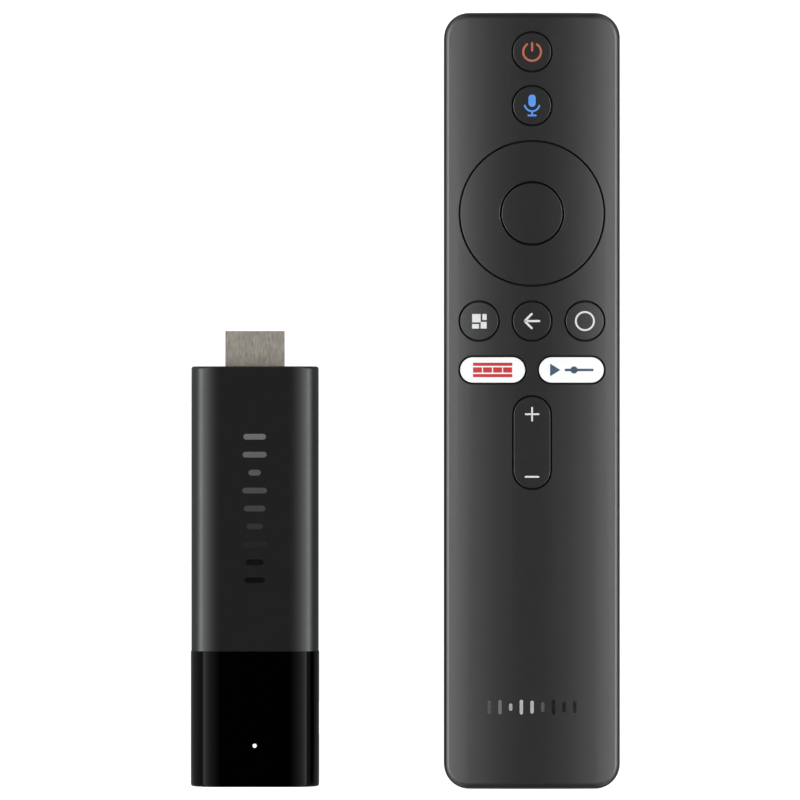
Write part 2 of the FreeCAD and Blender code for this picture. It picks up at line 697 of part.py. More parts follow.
def make_carbon_contacts():
    body = new_body("carbon_contacts")
    for name, x, y, top in domes():
        rod(body, name + "Contact", (x, y, "dome_roof - contact_thickness"), "pill_contact_radius",
            "contact_thickness")


def make_remote_board():
    body = new_body("remote_circuit_board")
    slab(body, "Board", ("0", "board_middle", "board_height"), "board_width", "board_length",
         "inner_radius", "board_thickness")
    for end in ("screw_head_y", "screw_tail_y"):
        for hand, sign in sides():
            rod(body, f"Hole{hand}{end[6:10]}", (f"{sign}screw_x", end, "board_height - 1"),
                "screw_radius + fit_gap", "board_thickness + 2", cut=True)


def make_board_screws():
    body = new_body("board_screws")
    for end in ("screw_head_y", "screw_tail_y"):
        for hand, sign in sides():
            rod(body, f"Shank{hand}{end[6:10]}", (f"{sign}screw_x", end, "board_top - screw_length"),
                "screw_radius", "screw_length")
            rod(body, f"Head{hand}{end[6:10]}", (f"{sign}screw_x", end, "board_top"),
                "screw_head_radius", "screw_head_height")


def make_case_screws():
    body = new_body("case_screws")
    for hand, sign in sides():
        place = (f"{sign}case_screw_x", "case_screw_y")
        rod(body, f"Head{hand}", (*place, "door_thickness + door_gap + 0.4"), "screw_head_radius",
            "screw_head_height")
        rod(body, f"Shank{hand}", (*place, "door_thickness + door_gap + 0.4 + screw_head_height"),
            "screw_radius", "parting_height + screw_length - door_thickness - 2")


def make_cell(name, sign, nub_ahead):
    body = new_body(name)
    x = f"{sign}cell_offset"
    if nub_ahead:
        start = "bay_low + plate_thickness + spring_space"
        nub = f"{start} + cell_body_length"
    else:
        nub = "bay_low + plate_thickness"
        start = f"{nub} + cell_nub_length"
    rod(body, "Can", (x, start, "cell_height"), "cell_radius", "cell_body_length", along="y")
    rod(body, "Nub", (x, nub, "cell_height"), "cell_nub_radius", "cell_nub_length", along="y")


def make_battery_spring(name, x, y, turn):
    """A coil between its plate and the flat end of its cell."""
    body = new_body(name, f"remote_x + ({x})", y, "cell_height")
    body.Placement.Rotation = FreeCAD.Rotation(FreeCAD.Vector(1, 0, 0), turn)
    sketch = sketch_on(body, "Wire", ("spring_radius", "0", "spring_wire_radius"), upright=True)
    sketch.addGeometry(Part.Circle(FreeCAD.Vector(), FreeCAD.Vector(0, 0, 1), value("spring_wire_radius")))
    rule = Sketcher.Constraint
    constrain(sketch, [rule("Coincident", 0, 3, -1, 1)],
              [("round", lambda v: rule("Radius", 0, v), "spring_wire_radius")])
    coil = body.newObject("PartDesign::AdditiveHelix", "Coil")
    coil.Profile = sketch
    axis = next(f for f in body.Origin.OriginFeatures if f.Role == "Z_Axis")
    coil.ReferenceAxis = (axis, [""])
    coil.Mode = "pitch-height-angle"
    bind(coil, "Height", "spring_space - 2 * spring_wire_radius")
    bind(coil, "Pitch", "(spring_space - 2 * spring_wire_radius) / 4")


def make_battery_plates():
    body = new_body("battery_plates")
    low, tall = "cell_height - 3.6", "7.2"
    middle_box(body, "Link", ("0", "bay_low + plate_thickness / 2", low),
               ("2 * bay_half_width - 1.6", "plate_thickness", tall))
    for hand, sign in sides():
        middle_box(body, f"Plate{hand}", (f"{sign}cell_offset", "bay_high - plate_thickness / 2", low),
                   ("2 * cell_radius - 1.2", "plate_thickness", tall))


def make_remote_parts():
    """The chips under the remote's board."""
    chips = {
        "wireless_chip": [("4", "ring_y + 4", "5", "5", "0.9")],
        "crystal": [("-3", "ring_y + 5", "3.2", "2.5", "0.7")],
        "microphone": [("0", "board_high - 1.6", "3.5", "2.6", "1.1")],
        "remote_capacitors": [(f"{x}", f"ring_y - {y}", "1.6", "0.8", "0.8")
                              for x, y in ((-8, 2), (-4, 6), (2, 8), (7, 5), (11, 0))],
    }
    for name, places in chips.items():
        body = new_body(name)
        for index, (x, y, wide, long, tall) in enumerate(places):
            middle_box(body, f"Part{index}", (x, y, f"board_height - {tall}"), (wide, long, tall))


# ---------------------------------------------------------------- stick case
def make_sleeve():
    body = stick_body("stick_sleeve")
    shell = tube(body, "Shell", "cap_length", "sleeve_width", "sleeve_thickness",
                 "section_round - sleeve_step", "sleeve_length")
    end = value("stick_length") - 0.01
    round_edges(body, "EndRound", shell, "end_round", lambda b: b.YMin > end)
    tube(body, "Bore", "cap_length", "bore_width", "bore_thickness", "section_round - stick_wall",
         "sleeve_length - end_wall", cut=True)
    grow = "2 * (spigot_thickness + fit_gap)"
    tube(body, "Mouth", "cap_length", f"bore_width + {grow}", f"bore_thickness + {grow}",
         "section_round - stick_wall", "spigot_length + 2 * fit_gap", cut=True)
    grow = "2 * door_gap"
    middle_box(body, "PlugHole", ("0", "stick_length", f"stick_middle - plug_height / 2 - door_gap"),
               (f"plug_width + {grow}", "4 * end_wall", f"plug_height + {grow}"), cut=True)


def make_end_cap():
    body = stick_body("stick_end_cap")
    shell = tube(body, "Shell", "0", "stick_width", "stick_thickness", "section_round", "cap_length")
    round_edges(body, "EndRound", shell, "end_round", lambda b: b.YMax < 0.01)
    tube(body, "Spigot", "cap_length", "bore_width + 2 * spigot_thickness",
         "bore_thickness + 2 * spigot_thickness", "section_round - stick_wall", "spigot_length")
    tube(body, "Bore", "end_wall", "bore_width", "bore_thickness", "section_round - stick_wall",
         "stick_length", cut=True)
    middle_box(body, "SocketHole", ("stick_width / 2", "usb_place", "usb_low - door_gap"),
               ("4 * stick_wall + 2", "usb_width + 2 * door_gap", "usb_height + 2 * door_gap"), cut=True)
    rod(body, "LightHole", ("0", "led_place", "cap_ceiling - 1"), "light_radius + 0.05",
        "stick_thickness", cut=True)


def make_carrier():
    body = stick_body("board_carrier")
    tube(body, "Shell", "carrier_start", "carrier_width", "carrier_height", "carrier_round",
         "carrier_length")
    thin = "2 * carrier_thickness"
    tube(body, "Trough", "carrier_start - 1", f"carrier_width - {thin}", f"carrier_height - {thin}",
         "carrier_round - carrier_thickness", "stick_length", cut=True)
    middle_box(body, "Open", ("0", "stick_length / 2", "stick_board_low"),
               ("stick_width", "2 * stick_length", "stick_thickness"), cut=True)
    for index, place in enumerate(STICK_POSTS):
        rod(body, f"Post{index}", (*place, "carrier_floor - 0.5"), "post_radius",
            "stick_board_low - carrier_floor + 0.5")
    for index, place in enumerate(STICK_POSTS):
        rod(body, f"PostHole{index}", (*place, "carrier_floor"), "screw_radius + 0.05", "stick_middle",
            cut=True)
    middle_box(body, "SocketRelief", ("carrier_width / 2", "usb_place", "usb_low - fit_gap"),
               ("2 * usb_depth", "usb_width + 2 * fit_gap + 0.4", "stick_middle"), cut=True)


STICK_POSTS = [(x, y) for y in ("carrier_start + 24", "stick_board_end - 6")
               for x in ("post_offset", "0 - post_offset")]


def make_stick_board():
    body = stick_body("stick_circuit_board")
    box(body, "Board", ("0 - stick_board_width / 2", "stick_board_start", "stick_board_low"),
        ("stick_board_width", "stick_board_length", "stick_board_thickness"))
    slot_wide = "plug_width / 2 + fit_gap - board_tongue_half"
    for hand, low in (("Left", "0 - plug_width / 2 - fit_gap"), ("Right", "board_tongue_half")):
        box(body, f"PlugSlot{hand}", (low, "plug_start - fit_gap", "stick_board_low - 1"),
            (slot_wide, "4", "stick_board_thickness + 2"), cut=True)
    middle_box(body, "SocketNotch", ("usb_start + usb_depth", "usb_place", "stick_board_low - 1"),
               ("2 * usb_depth + 2 * fit_gap", "usb_width + 2 * fit_gap", "stick_board_thickness + 2"),
               cut=True)
    for index, place in enumerate(STICK_POSTS):
        rod(body, f"Hole{index}", (*place, "stick_board_low - 1"), "screw_radius + fit_gap",
            "stick_board_thickness + 2", cut=True)


def make_stick_screws():
    body = stick_body("stick_screws")
    for index, place in enumerate(STICK_POSTS):
        rod(body, f"Shank{index}", (*place, "carrier_floor + 0.4"), "screw_radius",
            "stick_board_top - carrier_floor - 0.4")
        rod(body, f"Head{index}", (*place, "stick_board_top"), "screw_head_radius", "screw_head_height")


# ---------------------------------------------------------------- stick electronics
def make_stick_chips():
    """The chips and small parts on both faces of the stick's board."""
    top = "stick_board_top"
    below = "stick_board_low - chip_height"
    blocks = {
        "processor": [("0", "processor_place", top, "processor_side", "processor_side", "chip_height")],
        "memory_chip": [("0", "memory_place", top, "9", "11", "chip_height - fit_gap")],
        "flash_chip": [("0", "flash_place", below, "11.5", "13", "chip_height")],
        "wifi_chip": [("0", "can_place", below, "6", "6", "chip_height")],
        "thermal_pad": [("0", "processor_place", "chip_top", "processor_side", "processor_side",
                         "pad_height")],
        "antennas": [(x, "carrier_start + 17", top, "1.2", "9", "1.6") for x in ("8.5", "-8.5")],
        "led_chip": [("0", "led_place", top, "1.6", "1.2", "led_height")],
        "stick_capacitors": [(f"{x}", f"memory_place + {y}", below, "1.6", "0.8", "0.8 + 0.2")
                             for x, y in ((-7, -13), (-3, -13), (1, -14), (5, -12), (8, -9), (-8, -6))],
    }
    for name, places in blocks.items():
        body = stick_body(name)
        for index, (x, y, z, wide, long, tall) in enumerate(places):
            middle_box(body, f"Part{index}", (x, y, z), (wide, long, tall))


def make_heat_spreader():
    body = stick_body("heat_spreader")
    middle_box(body, "Plate", ("0", "processor_place", "spreader_base"),
               ("spreader_width", "spreader_length", "spreader_thickness"))
    for end, along in (("Head", "+"), ("Tail", "-")):
        for hand, sign in sides():
            place = (f"{sign}(spreader_width / 2 - 0.6)",
                     f"processor_place {along} (spreader_length / 2 - 1.5)", "stick_board_top")
            middle_box(body, f"Leg{end}{hand}", place, ("1.2", "3", "spreader_base - stick_board_top"))


def make_shield_can():
    body = stick_body("shield_can")
    middle_box(body, "Can", ("0", "can_place", "stick_board_low - can_height"),
               ("can_width", "can_length", "can_height"))
    middle_box(body, "Inside", ("0", "can_place", "stick_board_low - can_height + can_wall"),
               ("can_width - 2 * can_wall", "can_length - 2 * can_wall", "can_height"), cut=True)


def make_light_pipe():
    body = stick_body("light_pipe")
    rod(body, "Base", ("0", "led_place", "led_top"), "light_radius + 0.6", "cap_ceiling - led_top - fit_gap")
    rod(body, "Window", ("0", "led_place", "cap_ceiling - 0.5"), "light_radius",
        "stick_thickness - cap_ceiling + 0.48")


# ---------------------------------------------------------------- plug and socket
def make_plug_shell():
    body = stick_body("hdmi_shell")
    middle_box(body, "Block", ("0", "plug_start + plug_length / 2", "stick_middle - plug_height / 2"),
               ("plug_width", "plug_length", "plug_height"))
    block = body.Tip
    low = value("stick_middle - plug_height / 2") + 0.01
    doc.recompute()
    edges = [f"Edge{i}" for i, edge in enumerate(block.Shape.Edges, 1)
             if edge.BoundBox.ZMax < low and edge.BoundBox.YLength > 5]
    chamfer = body.newObject("PartDesign::Chamfer", "LowCorners")
    chamfer.Base = (block, edges)
    bind(chamfer, "Size", "plug_chamfer")
    doc.recompute()
    ends = [f"Face{i}" for i, face in enumerate(chamfer.Shape.Faces, 1) if face.BoundBox.YLength < 0.01]
    hollow = body.newObject("PartDesign::Thickness", "Wall")
    hollow.Base = (chamfer, ends)
    hollow.Reversed = True
    bind(hollow, "Value", "plug_wall")
    doc.recompute()
    for hand, low_x in (("Left", "0 - plug_width / 2 - 2.2"), ("Right", "plug_width / 2 - 0.1")):
        box(body, f"Ear{hand}", (low_x, "plug_start", "stick_board_top"), ("2.3", "1.6", "plug_wall"))


def make_plug_insulator():
    body = stick_body("hdmi_insulator")
    inside = "plug_wall + 0.05"
    middle_box(body, "Block", ("0", "insulator_start + insulator_length / 2",
                               f"stick_middle - plug_height / 2 + {inside}"),
               (f"plug_width - 2 * ({inside})", "insulator_length", f"plug_height - 2 * ({inside})"))
    block = body.Tip
    low = value(f"stick_middle - plug_height / 2 + {inside}") + 0.01
    doc.recompute()
    edges = [f"Edge{i}" for i, edge in enumerate(block.Shape.Edges, 1)
             if edge.BoundBox.ZMax < low and edge.BoundBox.YLength > 5]
    chamfer = body.newObject("PartDesign::Chamfer", "LowCorners")
    chamfer.Base = (block, edges)
    bind(chamfer, "Size", "plug_chamfer")
    middle_box(body, "Slot", ("0", "insulator_start + insulator_length / 2", "slot_low"),
               ("slot_width", "2 * insulator_length", "slot_height"), cut=True)


def make_plug_contacts():
    """Ten springs under the slot and nine above, in a row across the plug."""
    body = stick_body("hdmi_contacts")
    length = "insulator_length + 2"
    for name, count, z in (("Lower", 10, "slot_low"), ("Upper", 9, "stick_board_top")):
        for step in range(count):
            x = f"{step - (count - 1) / 2} * contact_pitch"
            middle_box(body, f"{name}{step}", (x, f"insulator_start - 2 + ({length}) / 2", z),
                       ("contact_width", length, "contact_height"))


def make_socket():
    """The supply socket in the end cap's side."""
    centre = "usb_start + usb_depth / 2"
    body = stick_body("usb_shell")
    middle_box(body, "Block", (centre, "usb_place", "usb_low"), ("usb_depth", "usb_width", "usb_height"))
    middle_box(body, "Inside", (f"{centre} + usb_wall", "usb_place", "usb_low + usb_wall"),
               ("usb_depth", "usb_width - 2 * usb_wall", "usb_height - 2 * usb_wall"), cut=True)
    body = stick_body("usb_tongue")
    middle_box(body, "Back", ("usb_start + usb_wall + 0.6", "usb_place", "usb_low + usb_wall"),
               ("1.2", "usb_width - 2 * usb_wall", "usb_height - 2 * usb_wall"))
    middle_box(body, "Blade", ("usb_start + usb_wall + 2.2", "usb_place", "stick_middle"),
               ("4.4", "3.8", "0.6"))
    body = stick_body("usb_contacts")
    for step in range(5):
        middle_box(body, f"Contact{step}",
                   ("usb_start + usb_wall + 2.8", f"usb_place + {0.65 * (step - 2)}", "stick_middle - 0.1"),
                   ("3.2", "0.35", "0.1"))


# ---------------------------------------------------------------- assembly
make_top_cover()
make_bottom_case()
make_battery_cover()
for key, (key_x, key_y) in ROUND_KEYS.items():
    make_round_key(key, key_x, key_y)
for key, (key_x, key_y) in PILL_KEYS.items():
    make_pill_key(key, key_x, key_y)
make_ok_key()
make_nav_ring()
make_nav_seat()
make_volume_rocker()
make_keypad()
make_carbon_contacts()
make_remote_board()
make_board_screws()
make_case_screws()
make_cell("cell_left", "0 - ", True)
make_cell("cell_right", "", False)
make_battery_spring("battery_spring_left", "0 - cell_offset", "bay_low + plate_thickness", -90)
make_battery_spring("battery_spring_right", "cell_offset", "bay_high - plate_thickness", 90)
make_battery_plates()
make_remote_parts()
make_sleeve()
make_end_cap()
make_carrier()
make_stick_board()
make_stick_screws()
make_stick_chips()
make_heat_spreader()
make_shield_can()
make_light_pipe()
make_plug_shell()
make_plug_insulator()
make_plug_contacts()
make_socket()

doc.recompute()
for item in doc.Objects:
    if "Invalid" in item.State or "Error" in item.State:
        raise RuntimeError(f"{item.Label} did not build: {item.State}")
for node in NODES:
    if node.Shape.isNull() or not node.Shape.isValid() or not node.Shape.Solids:
        raise RuntimeError(f"{node.Label} has no valid solid")

os.makedirs("parts", exist_ok=True)
for node in NODES:
    node.Shape.exportStep(f"parts/{node.Label}.step")
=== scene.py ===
"""A streaming media stick and its hand remote, side by side on a pale surface."""
import json
import math

import bmesh
import bpy
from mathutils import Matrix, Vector

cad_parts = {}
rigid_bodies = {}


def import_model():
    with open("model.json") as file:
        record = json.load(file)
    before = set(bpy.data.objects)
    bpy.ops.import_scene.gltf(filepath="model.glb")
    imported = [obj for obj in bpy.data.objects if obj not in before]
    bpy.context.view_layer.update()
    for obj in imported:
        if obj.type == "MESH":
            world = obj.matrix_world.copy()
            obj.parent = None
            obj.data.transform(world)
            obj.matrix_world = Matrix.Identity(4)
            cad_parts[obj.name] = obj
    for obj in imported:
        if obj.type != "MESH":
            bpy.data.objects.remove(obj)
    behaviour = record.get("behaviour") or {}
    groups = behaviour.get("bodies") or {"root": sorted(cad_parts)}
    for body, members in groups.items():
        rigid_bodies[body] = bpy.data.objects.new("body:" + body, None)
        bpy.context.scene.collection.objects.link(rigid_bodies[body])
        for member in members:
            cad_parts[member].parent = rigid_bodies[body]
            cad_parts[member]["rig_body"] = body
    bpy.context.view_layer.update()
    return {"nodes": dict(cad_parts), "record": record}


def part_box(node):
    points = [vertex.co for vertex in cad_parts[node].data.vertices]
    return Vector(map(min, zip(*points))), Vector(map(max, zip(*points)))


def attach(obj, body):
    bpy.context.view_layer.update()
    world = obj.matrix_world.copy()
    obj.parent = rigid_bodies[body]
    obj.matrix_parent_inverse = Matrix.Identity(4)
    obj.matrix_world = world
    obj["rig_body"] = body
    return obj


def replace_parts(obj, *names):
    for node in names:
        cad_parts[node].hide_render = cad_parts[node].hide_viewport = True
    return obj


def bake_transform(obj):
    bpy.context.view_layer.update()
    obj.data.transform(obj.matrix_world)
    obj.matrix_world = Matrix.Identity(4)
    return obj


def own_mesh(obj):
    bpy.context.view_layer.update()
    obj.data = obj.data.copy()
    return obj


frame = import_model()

NODES = frame["nodes"]
MM = 0.001

# The remote's crowned top: how far its middle stands above its long edges.
CROWN_RISE = 2.0 * MM
# Prints: how far they stand out of the key, how deep they are set, and the longest flat stretch.
PRINT_LIFT = 0.014 * MM
PRINT_DEPTH = 0.03 * MM
PRINT_STEP = 0.8 * MM
# A print's points nearer than WELD_REACH are one, and a cut takes in points nearer than CUT_REACH.
WELD_REACH = 0.002 * MM
CUT_REACH = 1e-8


# ---------------------------------------------------------------- materials
# Noise mostly stays between these two levels, so ramps run between them.
NOISE_LOW = 0.3
NOISE_HIGH = 0.7
BEVEL_SAMPLES = 6
# Moulded plastic: how wide its patches of colour and of gloss are.
COLOUR_PATCH = 9 * MM
GLOSS_PATCH = 2.5 * MM
# Painted shade in the grooves round the white keys: how far below the crown's top a key's colour turns
# dark, and how softly it turns.
GROOVE_SHADE_DEPTH = 1.9 * MM
GROOVE_SHADE_FADE = 0.05 * MM
# The dark colour of that painted shade.
GROOVE_SHADE = (0.006, 0.006, 0.006)
# Plated metal: how wide its drawing lines and patches of colour are, and how tone and gloss vary.
LINE_WIDTH = 0.25 * MM
METAL_PATCH = 1.8 * MM
METAL_TONES = (0.9, 1.06)
METAL_GLOSS = (-0.06, 0.08)
# Printed ink: how wide its patches of colour and of gloss are and how they vary, and its grain.
INK_PATCH = 0.6 * MM
INK_GLOSS_PATCH = 0.9 * MM
INK_TONES = (0.94, 1.04)
INK_DRIFT = 0.04
INK_GRAIN = 0.12 * MM
INK_RELIEF = 0.0015 * MM


class Shader:
    """A new material with short ways to add and join its nodes."""

    def __init__(self, name):
        self.material = bpy.data.materials.new(name)
        self.material.use_nodes = True
        self.nodes = self.material.node_tree.nodes
        self.links = self.material.node_tree.links
        self.skin = self.nodes["Principled BSDF"]
        self.where = self.add("ShaderNodeTexCoord").outputs["Object"]

    def add(self, kind, **settings):
        node = self.nodes.new(kind)
        for key, setting in settings.items():
            setattr(node, key, setting)
        return node

    def join(self, out, into):
        self.links.new(out, into)

    def noise(self, size, detail=2.0, stretch=(1, 1, 1)):
        """Noise whose grains are about size metres across."""
        mapping = self.add("ShaderNodeMapping")
        mapping.inputs["Scale"].default_value = stretch
        self.join(self.where, mapping.inputs["Vector"])
        noise = self.add("ShaderNodeTexNoise")
        noise.inputs["Scale"].default_value = 1 / size
        noise.inputs["Detail"].default_value = detail
        self.join(mapping.outputs["Vector"], noise.inputs["Vector"])
        return noise.outputs["Fac"]

    def spread(self, factor, low, high, into):
        """Send a factor, spread between two numbers, to a socket."""
        node = self.add("ShaderNodeMapRange")
        node.inputs["From Min"].default_value = NOISE_LOW
        node.inputs["From Max"].default_value = NOISE_HIGH
        node.inputs["To Min"].default_value = low
        node.inputs["To Max"].default_value = high
        self.join(factor, node.inputs["Value"])
        self.join(node.outputs["Result"], into)

    def tint(self, factor, dark, light):
        """Vary the base colour between two colours."""
        node = self.add("ShaderNodeValToRGB")
        node.color_ramp.elements[0].position = NOISE_LOW
        node.color_ramp.elements[1].position = NOISE_HIGH
        node.color_ramp.elements[0].color = (*dark, 1)
        node.color_ramp.elements[1].color = (*light, 1)
        self.join(factor, node.inputs["Fac"])
        self.join(node.outputs["Color"], self.skin.inputs["Base Color"])

    def relief(self, factor, depth, edge=0.0):
        """Raise the surface by a factor, with edges softened over edge metres."""
        bump = self.add("ShaderNodeBump")
        bump.inputs["Distance"].default_value = depth
        bump.inputs["Strength"].default_value = 1.0
        self.join(factor, bump.inputs["Height"])
        if edge:
            soft = self.add("ShaderNodeBevel", samples=BEVEL_SAMPLES)
            soft.inputs["Radius"].default_value = edge
            self.join(soft.outputs["Normal"], bump.inputs["Normal"])
        self.join(bump.outputs["Normal"], self.skin.inputs["Normal"])

    def put(self, **sockets):
        """Set sockets of the shader itself, named with _ for a space."""
        for name, setting in sockets.items():
            self.skin.inputs[name.replace("_", " ")].default_value = setting


def shade(colour, factor):
    """A colour made darker or lighter."""
    return tuple(min(1.0, c * factor) for c in colour)


def plastic(name, colour, rough, grain, depth, edge=0.0, mottle=0.06, drift=0.03, **sockets):
    """Moulded plastic: a fine grain in the surface, and colour and gloss that drift a little."""
    look = Shader(name)
    look.put(**sockets)
    look.tint(look.noise(COLOUR_PATCH, 4), shade(colour, 1 - mottle), shade(colour, 1 + mottle))
    gloss = look.noise(GLOSS_PATCH, 3)
    look.spread(gloss, rough - drift, rough + drift, look.skin.inputs["Roughness"])
    look.relief(look.noise(grain, 3), depth, edge=edge)
    return look.material


def paint_groove_shade(material, height, colour):
    """Turn the base colour dark below a height: painted shade on a key's lower part, where it shows in
    the groove round the key.
    """
    nodes, links = material.node_tree.nodes, material.node_tree.links
    skin = nodes["Principled BSDF"]
    key_colour = skin.inputs["Base Color"].links[0].from_socket
    split = nodes.new("ShaderNodeSeparateXYZ")
    links.new(nodes.new("ShaderNodeTexCoord").outputs["Object"], split.inputs[0])
    reach = nodes.new("ShaderNodeMapRange")
    reach.inputs["From Min"].default_value = height - GROOVE_SHADE_FADE
    reach.inputs["From Max"].default_value = height + GROOVE_SHADE_FADE
    links.new(split.outputs["Z"], reach.inputs["Value"])
    mix = nodes.new("ShaderNodeMix")
    mix.data_type = "RGBA"
    links.new(reach.outputs["Result"], mix.inputs["Factor"])
    mix.inputs["A"].default_value = (*colour, 1)
    links.new(key_colour, mix.inputs["B"])
    links.new(mix.outputs["Result"], skin.inputs["Base Color"])


def metal(name, colour, rough, along=(1, 1, 1), depth=0.002 * MM):
    """Plated metal with faint drawing lines."""
    look = Shader(name)
    look.put(Metallic=1.0)
    lines = look.noise(LINE_WIDTH, 4, along)
    dark, light = METAL_TONES
    look.tint(look.noise(METAL_PATCH, 3), shade(colour, dark), shade(colour, light))
    smooth, dull = METAL_GLOSS
    look.spread(lines, rough + smooth, rough + dull, look.skin.inputs["Roughness"])
    look.relief(lines, depth)
    return look.material


def ink(name, colour, rough=0.42):
    """Printed ink: a thin, slightly uneven film."""
    look = Shader(name)
    dark, light = INK_TONES
    look.tint(look.noise(INK_PATCH, 3), shade(colour, dark), shade(colour, light))
    gloss = look.noise(INK_GLOSS_PATCH, 2)
    look.spread(gloss, rough - INK_DRIFT, rough + INK_DRIFT, look.skin.inputs["Roughness"])
    look.relief(look.noise(INK_GRAIN, 2), INK_RELIEF)
    return look.material


# Each plastic: colour, roughness, the grain's width and depth, and the softening of its edges.
CASE = plastic("case_plastic", (0.0025, 0.0026, 0.0026), 0.33, 0.14 * MM, 0.005 * MM, 0.05 * MM,
               0.03, 0.006, Specular_IOR_Level=0.72)
KEY = plastic("key_plastic", (0.0025, 0.0026, 0.0026), 0.32, 0.12 * MM, 0.003 * MM, 0.05 * MM,
              0.03, 0.006, Specular_IOR_Level=0.72)
WHITE = plastic("white_plastic", (0.70, 0.71, 0.71), 0.38, 0.2 * MM, 0.002 * MM, 0.12 * MM, 0.02)
SLEEVE = plastic("sleeve_plastic", (0.005, 0.0052, 0.0055), 0.36, 0.10 * MM, 0.004 * MM, 0.1 * MM,
                 0.04, 0.01, Specular_IOR_Level=0.55)
GLOSS = plastic("gloss_black", (0.0002, 0.0002, 0.0002), 0.06, 1.6 * MM, 0.0006 * MM, 0.08 * MM,
                Specular_IOR_Level=0.143)
SILICONE = plastic("silicone", (0.30, 0.31, 0.33), 0.6, 0.3 * MM, 0.004 * MM, Subsurface_Weight=0.1)
BOARD = plastic("board_laminate", (0.010, 0.085, 0.04), 0.35, 0.5 * MM, 0.006 * MM, mottle=0.25)
CHIP = plastic("chip_resin", (0.018, 0.018, 0.019), 0.5, 0.06 * MM, 0.003 * MM)
INNER = plastic("inner_plastic", (0.014, 0.014, 0.015), 0.5, 0.1 * MM, 0.004 * MM)
PLUG = metal("plug_metal", (0.95, 0.88, 0.77), 0.40, (1, 0.15, 1), 0.0005 * MM)
NICKEL = metal("nickel", (0.62, 0.60, 0.56), 0.25, (1, 1, 0.2))
GOLD = metal("contact_gold", (0.83, 0.60, 0.24), 0.22, (1, 0.2, 1))
LOOKS = {
    "case_plastic": CASE,
    "key_plastic": KEY,
    "white_plastic": WHITE,
    "silicone": SILICONE,
    "carbon_rubber": plastic("carbon_rubber", (0.02, 0.02, 0.02), 0.8, 0.2 * MM, 0.004 * MM),
    "board_laminate": BOARD,
    "steel": metal("steel", (0.45, 0.45, 0.46), 0.35),
    "nickel": NICKEL,
    "cell_jacket": plastic("cell_jacket", (0.03, 0.09, 0.22), 0.25, 3 * MM, 0.003 * MM),
    "chip_resin": CHIP,
    "ceramic": plastic("ceramic", (0.42, 0.32, 0.2), 0.4, 0.2 * MM, 0.003 * MM),
    "sleeve_plastic": SLEEVE,
    "gloss_black": GLOSS,
    "inner_plastic": INNER,
    "thermal_rubber": plastic("thermal_rubber", (0.4, 0.45, 0.5), 0.7, 0.3 * MM, 0.01 * MM),
    "spreader_metal": metal("spreader_metal", (0.72, 0.72, 0.73), 0.4, (1, 0.1, 1)),
    # The light pipe is given a faint glow of its own: painted light.
    "led_white": plastic("led_white", (0.85, 0.87, 0.9), 0.3, 0.2 * MM, 0.001 * MM,
                         Emission_Color=(1, 1, 1, 1), Emission_Strength=0.6),
    "plug_metal": PLUG,
    "contact_gold": GOLD,
}


def dress_nodes():
    """Give each CAD node the look of its material slot."""
    for part in frame["record"]["subparts"]:
        mesh = NODES[part["node"]].data
        mesh.materials.clear()
        mesh.materials.append(LOOKS[part["material_slot"]])


# ---------------------------------------------------------------- places
COVER_LOW, COVER_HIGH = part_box("remote_top_cover")
REMOTE_X = (COVER_LOW.x + COVER_HIGH.x) / 2
HALF_WIDTH = (COVER_HIGH.x - COVER_LOW.x) / 2
CROWN_RADIUS = (HALF_WIDTH ** 2 + CROWN_RISE ** 2) / (2 * CROWN_RISE)
CROWN_TOP = COVER_HIGH.z
SLEEVE_LOW, SLEEVE_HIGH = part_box("stick_sleeve")
# The white keys turn dark below their tops: painted shade in the grooves round them.
paint_groove_shade(WHITE, CROWN_TOP - GROOVE_SHADE_DEPTH, GROOVE_SHADE)


def centre(node):
    """The middle of a CAD node's box."""
    low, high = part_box(node)
    return (low + high) / 2


def crown_height(x):
    """How high the remote's bare top stands at x."""
    return CROWN_TOP - CROWN_RADIUS + math.sqrt(CROWN_RADIUS ** 2 - (x - REMOTE_X) ** 2)


# How far the keys' tops stand above the remote's.
KEY_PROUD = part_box("power_key")[1].z - CROWN_TOP


def key_height(x):
    """How high the keys' crowned tops stand at x."""
    return crown_height(x) + KEY_PROUD


# ---------------------------------------------------------------- printed marks
def arc(radius, start, end, steps, middle=(0, 0)):
    """Points along an arc round middle, angles in degrees."""
    turns = [math.radians(start + (end - start) * i / steps) for i in range(steps + 1)]
    return [(middle[0] + radius * math.cos(t), middle[1] + radius * math.sin(t)) for t in turns]


def band(points_in, points_out):
    """Four-sided faces between two lines of points."""
    pairs = list(zip(points_in, points_out))
    return [[a, b, d, c] for (a, b), (c, d) in zip(pairs, pairs[1:])]


def hoop(radius, line, start=0, end=360, steps=72, middle=(0, 0)):
    """A drawn arc: its middle radius and its line's width."""
    return band(arc(radius - line / 2, start, end, steps, middle),
                arc(radius + line / 2, start, end, steps, middle))


def stroke(start, end, line):
    """A drawn line with round ends."""
    (x0, y0), (x1, y1) = start, end
    lean = math.degrees(math.atan2(y1 - y0, x1 - x0))
    far_end = arc(line / 2, lean - 90, lean + 90, 10, end)
    near_end = arc(line / 2, lean + 90, lean + 270, 10, start)
    return [far_end + near_end]


def tile(x, y, wide, tall, corner=0.0):
    """A filled rectangle from its lowest corner, with round corners where corner isn't 0."""
    if not corner:
        return [[(x, y), (x + wide, y), (x + wide, y + tall), (x, y + tall)]]
    left, right = x + corner, x + wide - corner
    low, high = y + corner, y + tall - corner
    outline = []
    for turn, middle in enumerate(((right, low), (right, high), (left, high), (left, low))):
        outline += arc(corner, turn * 90 - 90, turn * 90, 6, middle)
    return [outline]


